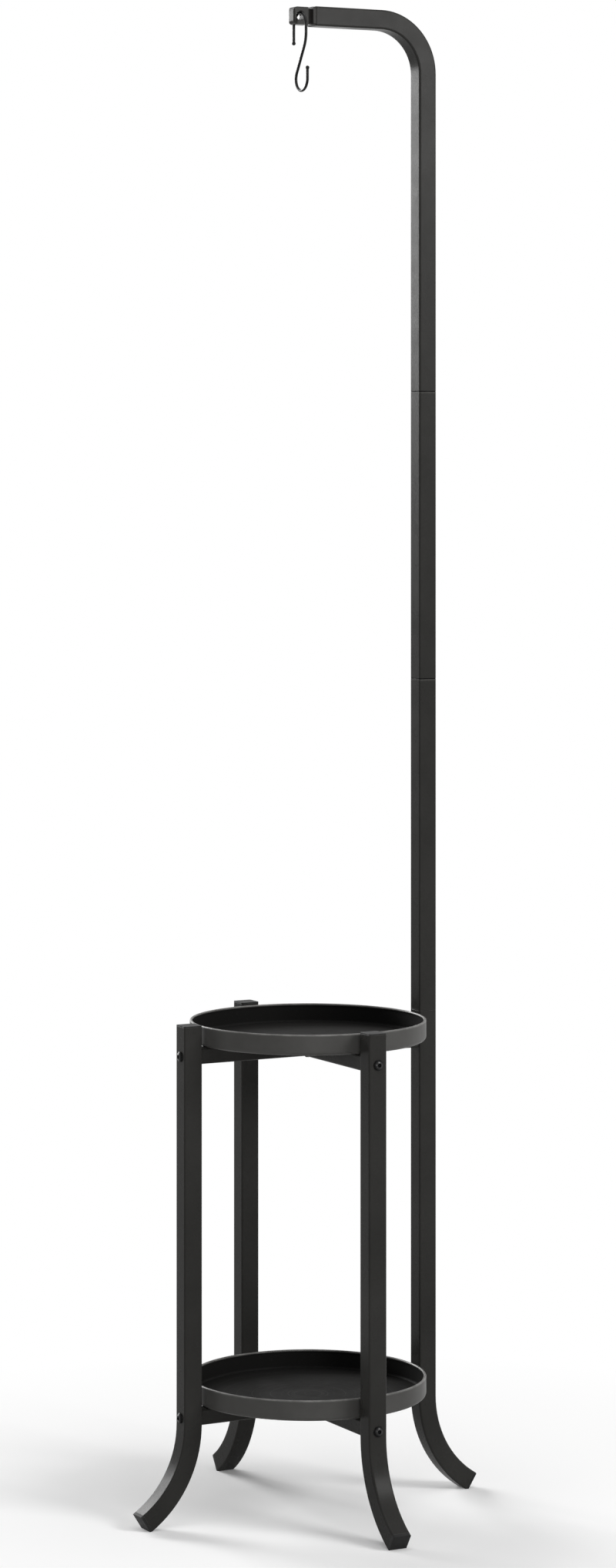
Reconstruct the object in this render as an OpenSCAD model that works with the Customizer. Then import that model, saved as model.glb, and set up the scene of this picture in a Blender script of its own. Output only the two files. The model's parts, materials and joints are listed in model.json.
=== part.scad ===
// Hanging plant stand: four splayed tube legs, two round trays on cross bars,
// a sectional pole with a curved arm, and an S-hook hung from the arm's end.
// Millimetres, +Z up. The origin is on the floor, on the axis of the trays.
// The pole leg stands at +X, the left leg at -X, the front leg at -Y, the back leg at +Y.

/* [Tube] */
// Outer width of the square tube of legs, pole and arm
tube_w = 20; // [16:0.5:25]
// Wall of every tube
tube_wall = 1.2; // [0.8:0.1:1.6]
// Outer corner radius of the tubes
tube_corner = 2; // [1.8:0.1:3]

/* [Trays] */
// Outer diameter of a tray
tray_d = 242; // [180:1:320]
// Height of a tray, from its underside to the top of its rim
tray_h = 21; // [14:0.5:30]
// Sheet thickness of a tray
tray_wall = 1.2; // [0.8:0.1:1.6]
// Outer radius between a tray's floor and its wall
tray_corner = 4; // [2.5:0.5:6]
// Diameter of the rolled rim
rim_d = 2.6; // [2.2:0.1:4]

/* [Cross bars] */
// Width and height of the square tube of the cross bars
bar_w = 16; // [14:0.5:18]
// Height of the lower cross's underside above the floor
lower_bar_z = 100; // [98:1:140]
// Height of the upper cross's underside above the floor
upper_bar_z = 464; // [380:2:600]

/* [Legs] */
// Space between a tray and the inner face of a leg
leg_gap = 5.3; // [4:0.1:12]
// How far the legs end above the upper tray's rim
leg_over_rim = 1; // [0:0.5:10]
// Centreline radius of the curved foot
foot_bend_r = 110; // [85:1:112]
// Angle through which the foot turns outwards
foot_angle = 57.4; // [48:0.2:59]
// Depth of the small flat that the plug stands on
foot_flat = 1.4; // [0.5:0.1:1.5]

/* [Plugs] */
// Thickness of a foot plug's flange
foot_flange = 3; // [3:0.1:5]
// Thickness of a top plug's flange
top_flange = 1.2; // [1:0.1:4]
// Depth of a plug inside its tube
plug_len = 12; // [8:0.5:16]
// Wall of a plug inside its tube
plug_wall = 1.5; // [1:0.1:2.5]

/* [Pole] */
// Length of the lower pole tube
pole_lower_len = 344; // [250:2:450]
// Length of the middle pole tube
pole_middle_len = 298; // [220:2:420]
// Height of the arm's top face above the floor
arm_top_z = 1537; // [1350:1:1800]
// Centreline radius of the arm's bend
arm_bend_r = 54; // [35:1:80]
// From the pole's axis to the end of the arm's tube
arm_reach = 131.7; // [110:0.1:200]
// How far a sleeve reaches into the tube above its seam
sleeve_len = 40; // [25:1:60]
// Wall of a sleeve
sleeve_wall = 1.5; // [1:0.1:2.5]

/* [Arm fitting] */
// Width and height of the flange on the arm's end
flange_w = 19; // [17:0.5:20]
// Thickness of that flange
flange_t = 3.5; // [2:0.1:6]
// Length of the neck between flange and lug
neck_len = 4; // [2:0.1:8]
// Width of the neck
neck_w = 9; // [6:0.5:11]
// Height of the neck
neck_h = 15; // [11:0.5:16]
// Height of the lug
lug_h = 18; // [16:0.5:20]
// Length of the lug
lug_len = 16.6; // [16:0.1:26]
// Width of the lug, along its hole
lug_w = 12; // [8:0.5:14]
// Radius of the lug's free corners, seen along its hole
lug_corner = 4; // [1:0.5:5]
// Radius of the lug's free corners, seen from above
lug_round = 1.5; // [0.5:0.1:3]
// Diameter of the hole that the hook hangs in
eye_d = 10; // [9:0.5:11]
// Solid left between the hole and the lug's free end
eye_land = 2.9; // [2.5:0.1:6]

/* [S-hook] */
// Diameter of the wire
wire_d = 3; // [2.4:0.1:3.1]
// Centreline radius of the upper loop
upper_loop_r = 13.1; // [12.9:0.1:14]
// Centreline radius of the lower loop
lower_loop_r = 12.3; // [10:0.1:14]
// Height between the two loops' centres
loop_drop = 54.5; // [50:0.5:80]
// How far the lower loop hangs in front of the upper one
loop_lead = 3.9; // [2:0.1:6]
// Slope of the shank between the loops, against the vertical
shank_slope = 31.106; // [29.556:0.001:31.762]
// Centreline radius of the bend above the shank
shoulder_r = 30; // [20:1:32]
// Straight length of the short rear leg
rear_leg = 17.4; // [6:0.1:20]
// Straight length of the front tip
front_leg = 10.3; // [4:0.1:16]
// Diameter of the ball on each tip
tip_d = 4; // [3.6:0.1:5]

/* [Bolts] */
// Diameter of the bolts' shanks
bolt_d = 6; // [5:0.5:7]
// Length of a bolt below its head
bolt_len = 30; // [27:1:32]
// Diameter of a domed head
head_d = 10.5; // [9:0.5:12]
// Height of a domed head
head_h = 3; // [2.6:0.1:4]
// Height of the straight rim under a head's dome
head_rim = 1; // [0.5:0.1:1.4]
// Width across the flats of the socket in a head
socket_w = 4; // [3:0.5:5]
// Depth of the socket
socket_depth = 1.6; // [1:0.1:1.8]
// Diameter of the flush head on the pole leg
flush_d = 11; // [10:0.5:12]
// Length of the threaded inserts in the cross bars
insert_len = 14; // [12:1:18]

/* [Hidden] */
$fn = 64;

slip = 0.1;              // clearance all round between a tube and what slides into it
bolt_clearance = 0.2;    // radial clearance of a bolt in a leg's holes
thread_clearance = 0.05; // radial clearance of a bolt in its insert
bore_w = tube_w - 2 * tube_wall;
bar_bore = bar_w - 2 * tube_wall;
inner_corner = tube_corner - tube_wall;
leg_r = tray_d / 2 + leg_gap + tube_w / 2;
leg_face = leg_r + tube_w / 2;
bar_end = leg_r - tube_w / 2;
leg_turns = [180, -90, 90, 0];

lower_bolt_z = lower_bar_z + bar_w / 2;
upper_bolt_z = upper_bar_z + bar_w / 2;
lower_tray_z = lower_bar_z + bar_w;
upper_tray_z = upper_bar_z + bar_w;
leg_top = upper_tray_z + tray_h + leg_over_rim;

// Height at which the foot starts to curve, and the angle its plug's skirt takes up in the curve
bend_z = tube_w / 2 * sin(foot_angle) - foot_flat + foot_flange * cos(foot_angle)
         + foot_bend_r * sin(foot_angle);
skirt_angle = plug_len / foot_bend_r * 180 / PI;

seam_middle = leg_top + pole_lower_len;
seam_upper = seam_middle + pole_middle_len;
arm_z = arm_top_z - tube_w / 2;
arm_end_x = leg_r - arm_reach;
lug_x = arm_end_x - flange_t - neck_len;
eye_x = lug_x - lug_len + eye_land + eye_d / 2;

flush_depth = (flush_d - bolt_d) / 2;
bolt_hole_d = bolt_d + 2 * bolt_clearance;
dome_h = head_h - head_rim;
dome_r = (pow(head_d / 2, 2) + pow(dome_h, 2)) / (2 * dome_h);

// The S-hook in its own plane: x towards the back, y up, origin on the hole's axis. Its wire runs
// from the rear leg over the upper loop, straight down, round the shoulder, along the shank and
// round the lower loop to the front tip.
upper_loop_x = -4;
upper_loop_y = -10.1;
shank_len = (upper_loop_r - loop_lead + lower_loop_r * cos(shank_slope)
             - shoulder_r * (1 - cos(shank_slope))) / sin(shank_slope);
fall_len = loop_drop - shank_len * cos(shank_slope) - (shoulder_r + lower_loop_r) * sin(shank_slope);

module rounded_square(w, r) {
    square([w - 2 * r, w], center = true);
    square([w, w - 2 * r], center = true);
    for (x = [-1, 1], y = [-1, 1])
        translate([x, y] * (w / 2 - r)) circle(r);
}

module tube_section(w, wall, r) {
    difference() {
        rounded_square(w, r);
        rounded_square(w - 2 * wall, max(r - wall, 0.3));
    }
}

module main_section() {
    tube_section(tube_w, tube_wall, tube_corner);
}

// Places children in the plane of the foot's arc, with the origin at the arc's centre
module at_bend() {
    translate([leg_r + foot_bend_r, 0, bend_z]) rotate([90, 0, 0]) rotate(180) children();
}

// A length of the foot's arc, swept from one angle to another
module foot_arc(from, to) {
    at_bend() rotate(from) rotate_extrude(angle = to - from, $fn = 160)
        translate([foot_bend_r, 0]) children();
}

// A hole along X through both walls of the leg at +X
module cross_hole(z) {
    translate([leg_r - tube_w, 0, z]) rotate([0, 90, 0])
        cylinder(d = bolt_hole_d, h = 2 * tube_w);
}

// The flush screw's cone, with its wide end on the leg's outer face
module flush_cone(clearance) {
    translate([leg_face, 0, upper_bolt_z]) rotate([0, -90, 0])
        cylinder(r1 = flush_d / 2 + clearance, r2 = bolt_d / 2 + clearance, h = flush_depth);
}

module leg() {
    color([0.13, 0.13, 0.12]) difference() {
        union() {
            translate([leg_r, 0, bend_z]) linear_extrude(leg_top - bend_z) main_section();
            foot_arc(0, foot_angle) main_section();
        }
        cross_hole(lower_bolt_z);
        cross_hole(upper_bolt_z);
    }
}

module leg_left() {
    rotate(leg_turns[0]) leg();
}

module leg_front() {
    rotate(leg_turns[1]) leg();
}

module leg_back() {
    rotate(leg_turns[2]) leg();
}

module leg_pole() {
    difference() {
        rotate(leg_turns[3]) leg();
        flush_cone(bolt_clearance);
    }
}

// Section of a plug's hollow skirt inside the tube
module skirt_section() {
    tube_section(bore_w - 2 * slip, plug_wall, inner_corner);
}

// A plug with a flange cut flat where it stands, and a skirt that follows the tube's curve
module foot_plug(turn) {
    reach = leg_r + foot_bend_r;
    overlap = foot_flange / 4;
    color([0.06, 0.06, 0.06]) rotate(turn) intersection() {
        union() {
            at_bend() rotate(foot_angle) translate([foot_bend_r, 0, 0]) rotate([-90, 0, 0])
                linear_extrude(foot_flange) rounded_square(tube_w, tube_corner);
            foot_arc(foot_angle - skirt_angle, foot_angle + overlap / foot_bend_r * 180 / PI)
                skirt_section();
        }
        translate([0, -tube_w, 0]) cube([reach, 2 * tube_w, bend_z]);
    }
}

module foot_plug_left() {
    foot_plug(leg_turns[0]);
}

module foot_plug_front() {
    foot_plug(leg_turns[1]);
}

module foot_plug_back() {
    foot_plug(leg_turns[2]);
}

module foot_plug_pole() {
    foot_plug(leg_turns[3]);
}

module top_plug(turn) {
    color([0.06, 0.06, 0.06]) rotate(turn) translate([leg_r, 0, leg_top]) {
        linear_extrude(top_flange) rounded_square(tube_w, tube_corner);
        translate([0, 0, -plug_len]) linear_extrude(plug_len) skirt_section();
    }
}

module top_plug_left() {
    top_plug(leg_turns[0]);
}

module top_plug_front() {
    top_plug(leg_turns[1]);
}

module top_plug_back() {
    top_plug(leg_turns[2]);
}

// A bar of the cross along +X, from x = from to x = to, with its underside at z
module bar(from, to, z) {
    color([0.12, 0.12, 0.11]) translate([from, 0, z + bar_w / 2]) rotate([0, 90, 0])
        linear_extrude(to - from) tube_section(bar_w, tube_wall, tube_corner);
}

module lower_long_bar() {
    bar(-bar_end, bar_end, lower_bar_z);
}

module lower_front_bar() {
    rotate(leg_turns[1]) bar(bar_w / 2, bar_end, lower_bar_z);
}

module lower_back_bar() {
    rotate(leg_turns[2]) bar(bar_w / 2, bar_end, lower_bar_z);
}

module upper_long_bar() {
    bar(-bar_end, bar_end, upper_bar_z);
}

module upper_front_bar() {
    rotate(leg_turns[1]) bar(bar_w / 2, bar_end, upper_bar_z);
}

module upper_back_bar() {
    rotate(leg_turns[2]) bar(bar_w / 2, bar_end, upper_bar_z);
}

// One threaded insert in each end of a cross
module inserts(z) {
    color([0.55, 0.55, 0.57]) for (turn = leg_turns)
        rotate(turn) translate([bar_end - insert_len, 0, z]) rotate([0, 90, 0]) difference() {
            linear_extrude(insert_len) rounded_square(bar_bore - 2 * slip, inner_corner);
            translate([0, 0, -1]) cylinder(d = bolt_d + 2 * thread_clearance, h = insert_len + 2);
        }
}

module lower_inserts() {
    inserts(lower_bolt_z);
}

module upper_inserts() {
    inserts(upper_bolt_z);
}

module socket(depth) {
    translate([0, 0, -depth]) cylinder(d = socket_w / cos(30), h = depth + 1, $fn = 6);
}

// A bolt with its head's underside at z = 0 and its shank along -Z
module domed_bolt() {
    translate([0, 0, -bolt_len]) cylinder(d = bolt_d, h = bolt_len);
    difference() {
        intersection() {
            translate([0, 0, head_h - dome_r]) sphere(dome_r);
            cylinder(d = head_d, h = head_h);
        }
        translate([0, 0, head_h]) socket(socket_depth);
    }
}

module domed_bolts(turns, z) {
    color([0.1, 0.1, 0.1]) for (turn = turns)
        rotate(turn) translate([leg_face, 0, z]) rotate([0, 90, 0]) domed_bolt();
}

module lower_bolts() {
    domed_bolts(leg_turns, lower_bolt_z);
}

module upper_bolts() {
    domed_bolts([for (i = [0:2]) leg_turns[i]], upper_bolt_z);
}

// Flush screw through the pole leg and the sleeve inside it
module flush_bolt() {
    color([0.1, 0.1, 0.1]) difference() {
        union() {
            flush_cone(0);
            translate([leg_face - bolt_len, 0, upper_bolt_z]) rotate([0, 90, 0])
                cylinder(d = bolt_d, h = bolt_len - flush_depth);
        }
        translate([leg_face, 0, upper_bolt_z]) rotate([0, 90, 0]) socket(socket_depth);
    }
}

module pole_tube(z, len) {
    color([0.14, 0.14, 0.13]) translate([leg_r, 0, z]) linear_extrude(len) main_section();
}

module pole_lower() {
    pole_tube(leg_top, pole_lower_len);
}

module pole_middle() {
    pole_tube(seam_middle, pole_middle_len);
}

module pole_arm() {
    pole_tube(seam_upper, arm_z - arm_bend_r - seam_upper);
    color([0.14, 0.14, 0.13]) {
        translate([leg_r - arm_bend_r, 0, arm_z - arm_bend_r]) rotate([90, 0, 0])
            rotate_extrude(angle = 90, $fn = 160) translate([arm_bend_r, 0]) main_section();
        translate([arm_end_x, 0, arm_z]) rotate([0, 90, 0])
            linear_extrude(arm_reach - arm_bend_r) main_section();
    }
}

module sleeve(bottom, top) {
    color([0.5, 0.5, 0.52]) translate([leg_r, 0, bottom]) linear_extrude(top - bottom)
        tube_section(bore_w - 2 * slip, sleeve_wall, inner_corner);
}

module pole_sleeve_lower() {
    difference() {
        sleeve(upper_bar_z - slip, leg_top + sleeve_len);
        cross_hole(upper_bolt_z);
        flush_cone(bolt_clearance);
    }
}

module pole_sleeve_middle() {
    sleeve(seam_middle - sleeve_len, seam_middle + sleeve_len);
}

module pole_sleeve_upper() {
    sleeve(seam_upper - sleeve_len, seam_upper + sleeve_len);
}

// The lug's outline across a width w, with its free corners rounded to r
module lug_outline(w, r) {
    translate([-lug_len + r, -w / 2]) square([lug_len - r, w]);
    translate([-lug_len, -w / 2 + r]) square([lug_len, w - 2 * r]);
    for (y = [-1, 1]) translate([-lug_len + r, y * (w / 2 - r)]) circle(r);
}

module lug() {
    intersection() {
        translate([0, 0, -lug_h / 2]) linear_extrude(lug_h) lug_outline(lug_w, lug_round);
        translate([0, lug_w / 2, 0]) rotate([90, 0, 0]) linear_extrude(lug_w)
            lug_outline(lug_h, lug_corner);
    }
}

module arm_fitting() {
    color([0.12, 0.12, 0.11]) translate([arm_end_x, 0, arm_z]) difference() {
        union() {
            rotate([0, 90, 0]) linear_extrude(plug_len)
                rounded_square(bore_w - 2 * slip, inner_corner);
            translate([-flange_t, 0, 0]) rotate([0, 90, 0])
                linear_extrude(flange_t) rounded_square(flange_w, tube_corner);
            translate([-flange_t - neck_len, -neck_w / 2, -neck_h / 2])
                cube([neck_len, neck_w, neck_h]);
            translate([-flange_t - neck_len, 0, 0]) lug();
        }
        translate([eye_x - arm_end_x, 0, 0]) rotate([90, 0, 0])
            cylinder(d = eye_d, h = 2 * lug_w, center = true);
    }
}

// Wire that turns left round a radius r from the origin, heading along +Y; children go on from its end
module wire_arc(r, angle) {
    translate([-r, 0, 0]) {
        rotate_extrude(angle = angle, $fn = 120) translate([r, 0]) circle(d = wire_d, $fn = 32);
        rotate(angle) translate([r, 0, 0]) children();
    }
}

// Straight wire from the origin along +Y; children go on from its end
module wire_line(len) {
    rotate([-90, 0, 0]) cylinder(d = wire_d, h = len, $fn = 32);
    translate([0, len, 0]) children();
}

module wire_tip() {
    sphere(d = tip_d, $fn = 32);
}

module s_hook() {
    color([0.05, 0.05, 0.05]) translate([eye_x, 0, arm_z]) rotate([90, 0, 90])
        translate([upper_loop_x + upper_loop_r, upper_loop_y, 0]) {
            rotate(180) wire_line(rear_leg) wire_tip();
            wire_arc(upper_loop_r, 180) wire_line(fall_len)
                wire_arc(shoulder_r, shank_slope) wire_line(shank_len) mirror([1, 0, 0])
                    wire_arc(lower_loop_r, 180 + shank_slope) wire_line(front_leg) wire_tip();
        }
}

// Half section of a tray, to be turned round its axis
module tray_section() {
    r = tray_d / 2;
    square([r - tray_corner, tray_wall]);
    translate([r - tray_wall, tray_corner]) square([tray_wall, tray_h - tray_corner - rim_d / 2]);
    translate([r - rim_d / 2, tray_h - rim_d / 2]) circle(d = rim_d, $fn = 32);
    translate([r - tray_corner, tray_corner]) intersection() {
        difference() {
            circle(tray_corner);
            circle(tray_corner - tray_wall);
        }
        translate([0, -tray_corner]) square(tray_corner);
    }
}

module tray(z) {
    color([0.11, 0.11, 0.1]) translate([0, 0, z]) rotate_extrude($fn = 160) tray_section();
}

module lower_tray() {
    tray(lower_tray_z);
}

module upper_tray() {
    tray(upper_tray_z);
}

leg_left();
leg_front();
leg_back();
leg_pole();
foot_plug_left();
foot_plug_front();
foot_plug_back();
foot_plug_pole();
top_plug_left();
top_plug_front();
top_plug_back();
lower_long_bar();
lower_front_bar();
lower_back_bar();
upper_long_bar();
upper_front_bar();
upper_back_bar();
lower_inserts();
upper_inserts();
lower_bolts();
upper_bolts();
flush_bolt();
pole_lower();
pole_middle();
pole_arm();
pole_sleeve_lower();
pole_sleeve_middle();
pole_sleeve_upper();
arm_fitting();
s_hook();
lower_tray();
upper_tray();
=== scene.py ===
"""Looks of the hanging plant stand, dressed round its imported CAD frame. Metres, +Z up."""
import json
import math

import bmesh
import bpy
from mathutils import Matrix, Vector


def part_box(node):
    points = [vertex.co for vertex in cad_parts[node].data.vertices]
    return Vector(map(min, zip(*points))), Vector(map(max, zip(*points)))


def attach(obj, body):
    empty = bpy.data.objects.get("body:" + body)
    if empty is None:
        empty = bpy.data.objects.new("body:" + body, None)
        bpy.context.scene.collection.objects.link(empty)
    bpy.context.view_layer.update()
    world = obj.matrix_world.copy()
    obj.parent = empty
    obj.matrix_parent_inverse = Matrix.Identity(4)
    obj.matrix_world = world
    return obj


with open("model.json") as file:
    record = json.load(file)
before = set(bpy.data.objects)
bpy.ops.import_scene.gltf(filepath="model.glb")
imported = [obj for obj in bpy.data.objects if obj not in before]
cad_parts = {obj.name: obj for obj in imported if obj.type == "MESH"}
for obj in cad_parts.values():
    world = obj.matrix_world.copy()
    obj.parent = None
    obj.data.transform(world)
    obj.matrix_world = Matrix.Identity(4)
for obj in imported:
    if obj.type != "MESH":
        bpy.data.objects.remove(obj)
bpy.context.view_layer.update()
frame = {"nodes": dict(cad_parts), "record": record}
NODES = frame["nodes"]
MM = 0.001


# ---------------------------------------------------------------- node helpers

def add(tree, kind, **values):
    """A shader node, with its inputs set by name and its properties by attribute."""
    node = tree.nodes.new(kind)
    for key, value in values.items():
        if hasattr(node, key):
            setattr(node, key, value)
        else:
            node.inputs[key.replace("_", " ")].default_value = value
    return node


def noise(tree, coords, scale, detail=3.0, rough=0.5):
    """Noise of about 0.2 to 0.8 round 0.5; scale is in waves per metre where coords are in metres."""
    node = add(tree, "ShaderNodeTexNoise", Scale=scale, Detail=detail, Roughness=rough)
    tree.links.new(coords, node.inputs["Vector"])
    return node.outputs["Fac"]


def span(tree, value, low, high, to_low=0.0, to_high=1.0):
    """value, mapped from low..high to to_low..to_high and held inside."""
    node = add(tree, "ShaderNodeMapRange")
    tree.links.new(value, node.inputs["Value"])
    ends = {"From Min": low, "From Max": high, "To Min": to_low, "To Max": to_high}
    for name, number in ends.items():
        node.inputs[name].default_value = number
    return node.outputs["Result"]


def calc(tree, operation, a, b=0.0):
    """A math node on one or two values, each a number or a socket."""
    node = add(tree, "ShaderNodeMath", operation=operation)
    for socket, value in zip(node.inputs, (a, b)):
        if isinstance(value, (int, float)):
            socket.default_value = value
        else:
            tree.links.new(value, socket)
    return node.outputs[0]


def blend_colour(tree, factor, a, b):
    """Colour a where factor is 0 and colour b where it is 1, each a tuple or a socket."""
    node = add(tree, "ShaderNodeMix", data_type="RGBA")
    tree.links.new(factor, node.inputs["Factor"])
    for socket, value in zip([s for s in node.inputs if s.type == "RGBA"], (a, b)):
        if isinstance(value, tuple):
            socket.default_value = (*value, 1)
        else:
            tree.links.new(value, socket)
    return [s for s in node.outputs if s.type == "RGBA"][0]


def stretched(tree, coords, scale):
    """coords scaled apart along each axis."""
    node = add(tree, "ShaderNodeMapping")
    tree.links.new(coords, node.inputs["Vector"])
    node.inputs["Scale"].default_value = scale
    return node.outputs["Vector"]


def axes_of(tree, vector):
    """The X, Y and Z sockets of a vector, by name."""
    node = add(tree, "ShaderNodeSeparateXYZ")
    tree.links.new(vector, node.inputs[0])
    return node.outputs


def paler(colour, times):
    """A colour times a number."""
    return tuple(times * c for c in colour)


# ---------------------------------------------------------------- materials

class Surface:
    """One material under way: its colour and normal are built up, and finish wires them in."""

    def __init__(self, name, rough, specular):
        self.material = bpy.data.materials.new(name)
        self.material.use_nodes = True
        self.tree = self.material.node_tree
        self.shader = self.tree.nodes["Principled BSDF"]
        self.shader.inputs["Specular IOR Level"].default_value = specular
        self.coords = add(self.tree, "ShaderNodeTexCoord").outputs["Object"]
        self.rough = rough
        self.colour = None
        self.normal = None

    def paint(self, mask, colour):
        """Lays a colour over what is there, as far as the mask says."""
        self.colour = blend_colour(self.tree, mask, self.colour, colour)

    def shine(self, level):
        """Drives the specular level from a socket."""
        self.tree.links.new(level, self.shader.inputs["Specular IOR Level"])

    def worn(self, scale, low, high, least, most):
        """A broken mask, as wear is patchy."""
        patches = noise(self.tree, self.coords, scale, 4, 0.65)
        return span(self.tree, patches, low, high, least, most)

    def clouds(self, dark, light, scale=9):
        """Slow unevenness of the coat, from dark to light."""
        mask = span(self.tree, noise(self.tree, self.coords, scale, 4, 0.6), 0.3, 0.7)
        self.colour = blend_colour(self.tree, mask, dark, light)

    def specks(self, colour, scale, amount, low=0.62, high=0.8):
        """Fine paler grains of powder, or of fine dirt settled on it."""
        grains = noise(self.tree, self.coords, scale, 2, 0.6)
        self.paint(span(self.tree, grains, low, high, 0, amount), colour)

    def edges(self, colour, radius, amount):
        """Rounded, rubbed edges: a bevelled normal, and a paler broken line along each edge."""
        tree = self.tree
        bevel = add(tree, "ShaderNodeBevel", samples=6, Radius=radius * MM)
        self.normal = bevel.outputs[0]
        flat = add(tree, "ShaderNodeNewGeometry").outputs["Normal"]
        turn = add(tree, "ShaderNodeVectorMath", operation="DOT_PRODUCT")
        tree.links.new(self.normal, turn.inputs[0])
        tree.links.new(flat, turn.inputs[1])
        rim = span(tree, turn.outputs["Value"], 0.995, 0.82, 0, amount)
        self.paint(calc(tree, "MULTIPLY", rim, self.worn(140, 0.38, 0.62, 0.25, 1)), colour)

    def scratches(self, amount, direction=(700, 700, 14)):
        """Hairline rubs that roughen the gloss, long along the axis with the small number."""
        lines = noise(self.tree, stretched(self.tree, self.coords, direction), 1, 3, 0.7)
        return span(self.tree, lines, 0.62, 0.72, 0, amount)

    def finish(self, swing, layers, mark=None):
        """Wires the material. The roughness varies by swing, and mark is added to it. layers are
        (scale, depth in mm) of the bump."""
        tree = self.tree
        tree.links.new(self.colour, self.shader.inputs["Base Color"])
        patches = noise(tree, self.coords, 45, 5, 0.6)
        gloss = span(tree, patches, 0.3, 0.7, self.rough - swing, self.rough + swing)
        if mark is not None:
            gloss = calc(tree, "ADD", gloss, mark)
        tree.links.new(gloss, self.shader.inputs["Roughness"])
        normal = self.normal
        for scale, depth in layers:
            bump = add(tree, "ShaderNodeBump", Strength=0.6, Distance=depth * MM)
            tree.links.new(noise(tree, self.coords, scale, 2, 0.5), bump.inputs["Height"])
            tree.links.new(normal, bump.inputs["Normal"])
            normal = bump.outputs["Normal"]
        tree.links.new(normal, self.shader.inputs["Normal"])
        return self.material


def painted_seam_light(s, heights):
    """Masks for a painted shade line at each height where two tubes of the pole meet, standing for
    the shade in the gap between them, and for a painted highlight on the top edge of the tube below
    it, broken in patches."""
    tree = s.tree
    up = axes_of(tree, s.coords)["Z"]
    gap_shade, seam_highlight = 0.0, 0.0
    for height in heights:
        under = calc(tree, "SUBTRACT", height, up)
        line = span(tree, calc(tree, "ABSOLUTE", under), 0.6 * MM, 0.3 * MM)
        below_line = span(tree, under, 0.5 * MM, 0.9 * MM)
        above_plain = span(tree, under, 2.6 * MM, 1.4 * MM)
        gap_shade = calc(tree, "MAXIMUM", gap_shade, line)
        seam_highlight = calc(tree, "MAXIMUM", seam_highlight, calc(tree, "MULTIPLY", below_line, above_plain))
    return gap_shade, calc(tree, "MULTIPLY", seam_highlight, s.worn(90, 0.35, 0.65, 0.2, 0.75))


def powder_coat(name, dark, light, rough, specular, seams):
    """Satin powder coat on steel: orange peel a millimetre or two wide over a finer grain."""
    # Colour and specular level of the painted shade line in each pole seam's gap
    seam_shade_colour, seam_shade_shine = (0.004, 0.004, 0.004), 0.01
    s = Surface(name, rough, specular)
    s.clouds(dark, light)
    gap_shade, seam_highlight = painted_seam_light(s, seams)
    # Painted highlight on the top edge of the tube below each seam, broken in patches
    s.paint(seam_highlight, paler(light, 2.4))
    s.specks(paler(light, 2.2), 800, 0.16)
    s.edges(paler(light, 3.6), 0.7, 0.8)
    # Painted shade: each seam's gap is painted near black, with a low specular level
    s.paint(gap_shade, seam_shade_colour)
    s.shine(span(s.tree, gap_shade, 0, 1, specular, seam_shade_shine))
    return s.finish(0.05, ((520, 0.035), (2200, 0.012)), s.scratches(0.05))


# The tray's bend and sheet, as the part's source has them, and how far down its rolled rim reaches
TRAY_CORNER = 4 * MM
TRAY_SHEET = 1.2 * MM
TRAY_RIM = 2.7 * MM


def tray_places(tree):
    """How far a spot is from the tray's axis, as a share of its width, and how high, as a share of
    its height."""
    place = add(tree, "ShaderNodeMapping")
    tree.links.new(add(tree, "ShaderNodeTexCoord").outputs["Generated"], place.inputs["Vector"])
    place.inputs["Location"].default_value = (-0.5, -0.5, 0)
    at = axes_of(tree, place.outputs["Vector"])
    squares = [calc(tree, "MULTIPLY", at[axis], at[axis]) for axis in ("X", "Y")]
    return calc(tree, "SQRT", calc(tree, "ADD", *squares)), at["Z"]


def tray_inside(tree, radius, height, width, tall):
    """1 on the inner face of the sheet, under the rim, and 0 on the outer face. The two are told
    apart by their distance from the centre of the round between floor and wall."""
    out = calc(tree, "MAXIMUM", calc(tree, "SUBTRACT", radius, 0.5 - TRAY_CORNER / width), 0)
    down = calc(tree, "MAXIMUM", calc(tree, "SUBTRACT", TRAY_CORNER / tall, height), 0)
    out = calc(tree, "POWER", calc(tree, "MULTIPLY", out, width), 2)
    down = calc(tree, "POWER", calc(tree, "MULTIPLY", down, tall), 2)
    mid_sheet = (TRAY_CORNER - TRAY_SHEET / 2) ** 2
    within = calc(tree, "LESS_THAN", calc(tree, "ADD", out, down), mid_sheet)
    return calc(tree, "MULTIPLY", within, calc(tree, "LESS_THAN", height, 1 - TRAY_RIM / tall))


def round_rubs(s, radius, inside):
    """Thin wavering rings inside the tray, where pots have been turned."""
    tree = s.tree
    ring = add(tree, "ShaderNodeCombineXYZ")
    tree.links.new(calc(tree, "MULTIPLY", radius, 150), ring.inputs[0])
    waver = calc(tree, "MULTIPLY", noise(tree, s.coords, 7, 2, 0.5), 3.0)
    tree.links.new(waver, ring.inputs[1])
    lines = span(tree, noise(tree, ring.outputs[0], 1, 3, 0.6), 0.58, 0.72)
    return calc(tree, "MULTIPLY", calc(tree, "MULTIPLY", lines, inside), 0.5)


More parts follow.
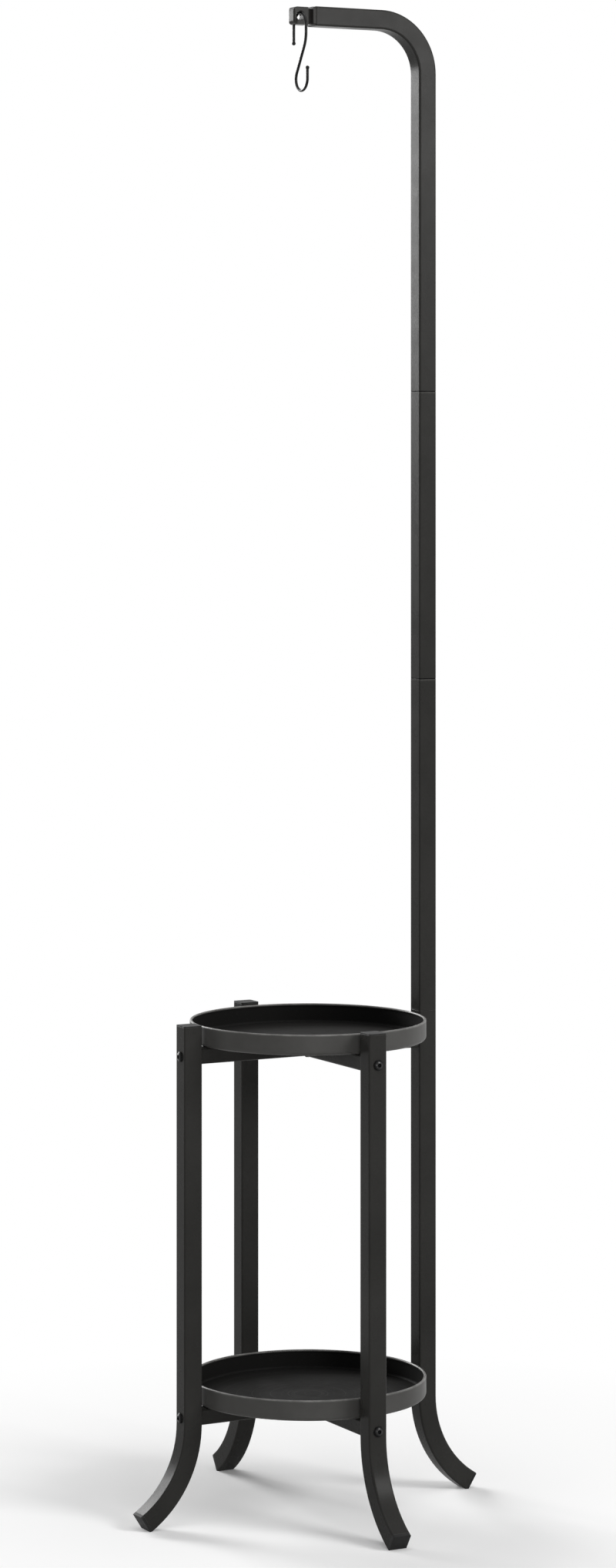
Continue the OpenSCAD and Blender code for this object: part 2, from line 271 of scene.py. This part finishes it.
def tray_coat():
    """The same coat on spun sheet, but painted paler than the frame's, which stands for the light the
    trays catch:
    matt inside, with painted shade there and round rubs, and a painted highlight along the rim,
    broken in patches."""
    outer_shine, inner_shine, rim_shine = 0.10, 0.03, 0.35
    low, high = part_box("upper_tray")
    width, tall = high[0] - low[0], high[2] - low[2]
    s = Surface("coat_trays", 0.42, outer_shine)
    tree = s.tree
    # Painted light: the frame's coat, painted paler here so that the trays' walls read as lit
    s.clouds((0.056, 0.055, 0.0523), (0.075, 0.0738, 0.0704), 14)
    radius, height = tray_places(tree)
    inside = tray_inside(tree, radius, height, width, tall)
    # Painted shade: the inner face under the rim is painted near black, with a low specular level,
    # for the shade inside the tray
    s.paint(inside, (0.010, 0.0098, 0.0094))
    rubs = round_rubs(s, radius, inside)
    s.paint(rubs, (0.026, 0.0255, 0.0245))
    s.specks((0.075, 0.073, 0.070), 800, 0.20)
    s.edges((0.095, 0.093, 0.088), 0.7, 0.7)
    # Painted highlight: a paler line along the top of the rolled rim, broken in patches, with a
    # higher specular level
    rim = span(tree, height, 1 - 2.0 * MM / tall, 1 - 0.5 * MM / tall)
    rim = calc(tree, "MULTIPLY", rim, s.worn(60, 0.35, 0.65, 0.35, 1))
    s.paint(rim, (0.17, 0.167, 0.160))
    sheet = span(tree, inside, 0, 1, outer_shine, inner_shine)
    s.shine(calc(tree, "ADD", sheet, calc(tree, "MULTIPLY", rim, rim_shine)))
    dull = calc(tree, "MULTIPLY", inside, 0.16)
    polished = calc(tree, "MULTIPLY", rubs, 0.2)
    return s.finish(0.05, ((480, 0.035), (2200, 0.012)), calc(tree, "SUBTRACT", dull, polished))


def plug_plastic():
    """Moulded plastic with an eroded skin and grey scuffs on its edges."""
    s = Surface("plastic_plugs", 0.56, 0.15)
    s.clouds((0.010, 0.010, 0.010), (0.016, 0.016, 0.0155), 60)
    s.specks((0.045, 0.045, 0.044), 900, 0.3, 0.6, 0.75)
    s.edges((0.055, 0.055, 0.054), 0.5, 0.8)
    return s.finish(0.06, ((1500, 0.03), (3200, 0.02)), s.scratches(0.10, (400, 400, 60)))


def bolt_oxide():
    """Black oxide on steel, with a painted highlight round the socket, paler and shinier there, and a
    low specular level at the rim to keep it black.
    """
    rim_shine, crown_highlight_shine = 0.05, 0.35
    s = Surface("oxide_bolts", 0.30, rim_shine)
    tree = s.tree
    s.clouds((0.002, 0.002, 0.0021), (0.005, 0.005, 0.0052), 120)
    facing = axes_of(tree, add(tree, "ShaderNodeNewGeometry").outputs["Normal"])
    along_bolt = [calc(tree, "ABSOLUTE", facing[axis]) for axis in ("X", "Y")]
    axial = calc(tree, "MAXIMUM", *along_bolt)
    # Painted highlight: the dome round the socket is painted paler and given a higher specular level
    crown_highlight = calc(tree, "MULTIPLY", span(tree, axial, 0.82, 0.95), span(tree, axial, 0.999, 0.99))
    s.paint(crown_highlight, (0.009, 0.009, 0.0092))
    s.shine(span(tree, crown_highlight, 0, 1, rim_shine, crown_highlight_shine))
    s.edges((0.08, 0.08, 0.08), 0.4, 0.6)
    return s.finish(0.06, ((1400, 0.010), (4000, 0.006)))


def hook_enamel():
    """Glossy enamel dipped over round wire, thin where the basket's ring rubs."""
    s = Surface("enamel_hook", 0.24, 0.15)
    s.clouds((0.004, 0.004, 0.004), (0.007, 0.007, 0.0068), 40)
    s.specks((0.030, 0.030, 0.029), 260, 0.4, 0.64, 0.8)
    s.edges((0.03, 0.03, 0.03), 0.3, 0.4)
    return s.finish(0.06, ((300, 0.03), (1800, 0.010)), s.scratches(0.12, (200, 200, 40)))


def zinc_plate():
    """Zinc plate, out of sight inside the tubes: spangled, with drawn lines along the tube."""
    s = Surface("zinc_steel", 0.42, 0.5)
    s.clouds((0.42, 0.42, 0.43), (0.58, 0.58, 0.60), 160)
    s.edges((0.70, 0.70, 0.71), 0.3, 0.5)
    s.shader.inputs["Metallic"].default_value = 0.9
    return s.finish(0.08, ((700, 0.02), (2500, 0.010)), s.scratches(0.12, (900, 900, 20)))


POLE_SEAMS = [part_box(part)[1][2] for part in ("pole_lower", "pole_middle")]
MATERIALS = {
    "frame": powder_coat("coat_frame", (0.023, 0.0225, 0.0211), (0.032, 0.0313, 0.0294),
                         0.28, 0.045, POLE_SEAMS),
    "trays": tray_coat(),
    "plugs": plug_plastic(),
    "bolts": bolt_oxide(),
    "hook": hook_enamel(),
    "steel": zinc_plate(),
}


# ---------------------------------------------------------------- CAD nodes

SOFT_TUBES = ("pole_lower", "pole_middle", "pole_arm")
SOFT_ROUND = 0.35 * MM
SAME_POINT = 0.002 * MM
LEAST_TURN = math.radians(38)  # edges that turn by less stay as they are


def soften(thing):
    """Small round on the hard edges of a CAD node, by modifiers alone."""
    weld = thing.modifiers.new("weld", "WELD")
    weld.merge_threshold = SAME_POINT
    bevel = thing.modifiers.new("round", "BEVEL")
    bevel.width = SOFT_ROUND
    bevel.segments = 2
    bevel.limit_method = "ANGLE"
    bevel.angle_limit = LEAST_TURN
    bevel.use_clamp_overlap = False
    normals = thing.modifiers.new("normals", "WEIGHTED_NORMAL")
    normals.weight = 80


def dress_nodes():
    for row in frame["record"]["subparts"]:
        thing = NODES[row["node"]]
        thing.data.materials.clear()
        thing.data.materials.append(MATERIALS[row["material_slot"]])
        if row["node"] in SOFT_TUBES:
            soften(thing)


# ---------------------------------------------------------------- welds

WELD_RADIUS = 1.1 * MM
WELD_OFF = 0.15 * MM  # how far a bead's middle lies off the corner it fills
WELD_INSET = 1.9 * MM  # how far from the bar's edges a bead turns or stops
BEAD_STEP = 0.9 * MM
BEAD_SIDES = 14


def link(name, mesh, slot, body):
    """Puts a mesh into the scene as a piece that rides on a body."""
    thing = bpy.data.objects.new(name, mesh)
    bpy.context.scene.collection.objects.link(thing)
    mesh.materials.append(MATERIALS[slot])
    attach(thing, body)


def steps_along(path):
    """Points about BEAD_STEP apart along a path."""
    points = []
    for a, b in zip(path, path[1:]):
        count = max(int((b - a).length / BEAD_STEP), 1)
        points += [a.lerp(b, i / count) for i in range(count)]
    return points + [path[-1]]


def bead(shape, path):
    """A weld bead along a path, tapered at its ends and rippled by its puddles."""
    points = steps_along(path)
    last = len(points) - 1
    rings = []
    for i, point in enumerate(points):
        along = (points[min(i + 1, last)] - points[max(i - 1, 0)]).normalized()
        side = along.orthogonal().normalized()
        other = along.cross(side)
        taper = min(0.45 + 0.3 * min(i, last - i), 1.0)
        r = WELD_RADIUS * taper * (1 + 0.12 * math.sin(i * 1.9))
        turns = [math.tau * k / BEAD_SIDES for k in range(BEAD_SIDES)]
        rings.append([shape.verts.new(point + r * (math.cos(a) * side + math.sin(a) * other))
                      for a in turns])
    for ring, after in zip(rings, rings[1:]):
        for k in range(BEAD_SIDES):
            n = (k + 1) % BEAD_SIDES
            shape.faces.new((ring[k], ring[n], after[n], after[k]))
    shape.faces.new(list(reversed(rings[0])))
    shape.faces.new(rings[-1])


def cross_welds(name, node):
    """Beads round three sides of each half bar's joint with the long bar; the tray covers the top."""
    low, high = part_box(node)
    under, top = low[2], high[2]
    out = (high[1] - low[1]) / 2 + WELD_OFF
    shape = bmesh.new()
    for y in (out, -out):
        bead(shape, [Vector((-out, y, top - WELD_INSET)), Vector((-out, y, under + WELD_INSET)),
                     Vector((-out + WELD_INSET, y, under)), Vector((out - WELD_INSET, y, under)),
                     Vector((out, y, under + WELD_INSET)), Vector((out, y, top - WELD_INSET))])
    bmesh.ops.recalc_face_normals(shape, faces=shape.faces)
    for face in shape.faces:
        face.smooth = True
    mesh = bpy.data.meshes.new(name)
    shape.to_mesh(mesh)
    shape.free()
    link(name, mesh, "frame", "stand")


# ---------------------------------------------------------------- stage

FLOOR_HALF = 14
FLOOR_PAINT = 0.86
FLOOR_LIFT = 0.13  # what the floor adds for the rays in seen_rays, so that it reads as near white
FADE_FROM, FADE_TO = 0.24, 0.74  # from the stand's axis: the painted floor turns plain white
BACKDROP_ON_OBJECT = 0.06


def seen_rays(tree):
    """1 for rays from the camera, off gloss and through glass, which see the white background."""
    path = add(tree, "ShaderNodeLightPath")
    seen = calc(tree, "MAXIMUM", path.outputs["Is Camera Ray"], path.outputs["Is Glossy Ray"])
    return calc(tree, "MAXIMUM", seen, path.outputs["Is Transmission Ray"])


def floor_material():
    material = bpy.data.materials.new("floor")
    material.use_nodes = True
    tree = material.node_tree
    tree.nodes.clear()
    length = add(tree, "ShaderNodeVectorMath", operation="LENGTH")
    tree.links.new(add(tree, "ShaderNodeTexCoord").outputs["Object"], length.inputs[0])
    far = span(tree, length.outputs["Value"], FADE_FROM, FADE_TO)
    paint = add(tree, "ShaderNodeBsdfDiffuse", Color=(FLOOR_PAINT, FLOOR_PAINT, FLOOR_PAINT, 1))
    white = add(tree, "ShaderNodeEmission", Strength=1.0)
    seen = seen_rays(tree)
    lift = add(tree, "ShaderNodeEmission")
    tree.links.new(calc(tree, "MULTIPLY", seen, FLOOR_LIFT), lift.inputs["Strength"])
    near = add(tree, "ShaderNodeAddShader")
    tree.links.new(paint.outputs[0], near.inputs[0])
    tree.links.new(lift.outputs[0], near.inputs[1])
    mix = add(tree, "ShaderNodeMixShader")
    tree.links.new(calc(tree, "MULTIPLY", seen, far), mix.inputs["Fac"])
    tree.links.new(near.outputs[0], mix.inputs[1])
    tree.links.new(white.outputs[0], mix.inputs[2])
    out = add(tree, "ShaderNodeOutputMaterial")
    tree.links.new(mix.outputs[0], out.inputs["Surface"])
    return material


def make_floor():
    mesh = bpy.data.meshes.new("floor")
    shape = bmesh.new()
    bmesh.ops.create_grid(shape, x_segments=8, y_segments=8, size=FLOOR_HALF)
    shape.to_mesh(mesh)
    shape.free()
    mesh.materials.append(floor_material())
    floor = bpy.data.objects.new("floor", mesh)
    bpy.context.scene.collection.objects.link(floor)


def make_world():
    """White where it is seen, and faint where it lights the object."""
    world = bpy.data.worlds.new("studio")
    bpy.context.scene.world = world
    world.use_nodes = True
    tree = world.node_tree
    tree.nodes.clear()
    backdrop = add(tree, "ShaderNodeBackground", Color=(1, 1, 1, 1))
    strength = span(tree, seen_rays(tree), 0, 1, BACKDROP_ON_OBJECT, 1.0)
    tree.links.new(strength, backdrop.inputs["Strength"])
    out = add(tree, "ShaderNodeOutputWorld")
    tree.links.new(backdrop.outputs[0], out.inputs["Surface"])


# name: (place, target, size, watts)
LAMPS = {
    "key": ((1.5, -2.6, 2.0), (0.1, 0, 1.1), (1.2, 1.2), 62),
    "catch": ((-1.15, -3.1, 0.5), (0, 0, 0.6), (0.4, 0.4), 12),
    "top": ((0, -0.8, 3.4), (0, 0, 0), (3.0, 3.0), 44),
    "side": ((-3.2, -0.6, 2.2), (0, 0, 0.5), (2.0, 2.0), 7),
    "back_left": ((-2.0, 5.4, 2.0), (0, 0, 0.3), (1.9, 1.4), 100),
    "back_right": ((-0.8, 5.4, 2.9), (0, 0, 0.1), (2.0, 1.6), 150),
    "back_high": ((-0.6, 5.0, 3.2), (0, 0, 0.3), (2.2, 1.8), 24),
    "strip": ((-2.8, 5.4, 1.7), (0.1, 0, 1.3), (0.9, 1.2), 32),
}


def area_light(name, place, target, size, power):
    data = bpy.data.lights.new(name, "AREA")
    data.shape = "RECTANGLE"
    data.size, data.size_y = size
    data.energy = power
    lamp = bpy.data.objects.new(name, data)
    bpy.context.scene.collection.objects.link(lamp)
    lamp.location = place
    lamp.rotation_euler = (Vector(target) - Vector(place)).to_track_quat("-Z", "Y").to_euler()


# The camera that was fitted to the photograph: pixels of its frame, millimetres of the sensor,
# then its place in metres and its turn
PHOTO_HIGH = 2037
FOCAL_LENGTH = 5498.6
HORIZON_ROW = 581.1
SENSOR = 36
CAMERA_DISTANCE = 4.3333
CAMERA_HEIGHT = 1.0859
CAMERA_TURN = math.radians(-28.5)


def make_camera():
    """A level camera; the photograph's frame is shifted down instead of tilting it."""
    data = bpy.data.cameras.new("camera")
    data.sensor_width = SENSOR
    data.lens = FOCAL_LENGTH * SENSOR / PHOTO_HIGH
    data.shift_y = (HORIZON_ROW - PHOTO_HIGH / 2) / PHOTO_HIGH
    data.clip_start, data.clip_end = 0.1, 60
    camera = bpy.data.objects.new("camera", data)
    bpy.context.scene.collection.objects.link(camera)
    camera.location = (CAMERA_DISTANCE * math.sin(CAMERA_TURN),
                       -CAMERA_DISTANCE * math.cos(CAMERA_TURN), CAMERA_HEIGHT)
    camera.rotation_euler = (math.radians(90), 0, CAMERA_TURN)
    bpy.context.scene.camera = camera


dress_nodes()
cross_welds("welds_lower", "lower_long_bar")
cross_welds("welds_upper", "upper_long_bar")
make_camera()
make_floor()
make_world()
for lamp_name, setting in LAMPS.items():
    area_light(lamp_name, *setting)
bpy.context.scene.view_settings.view_transform = "Standard"
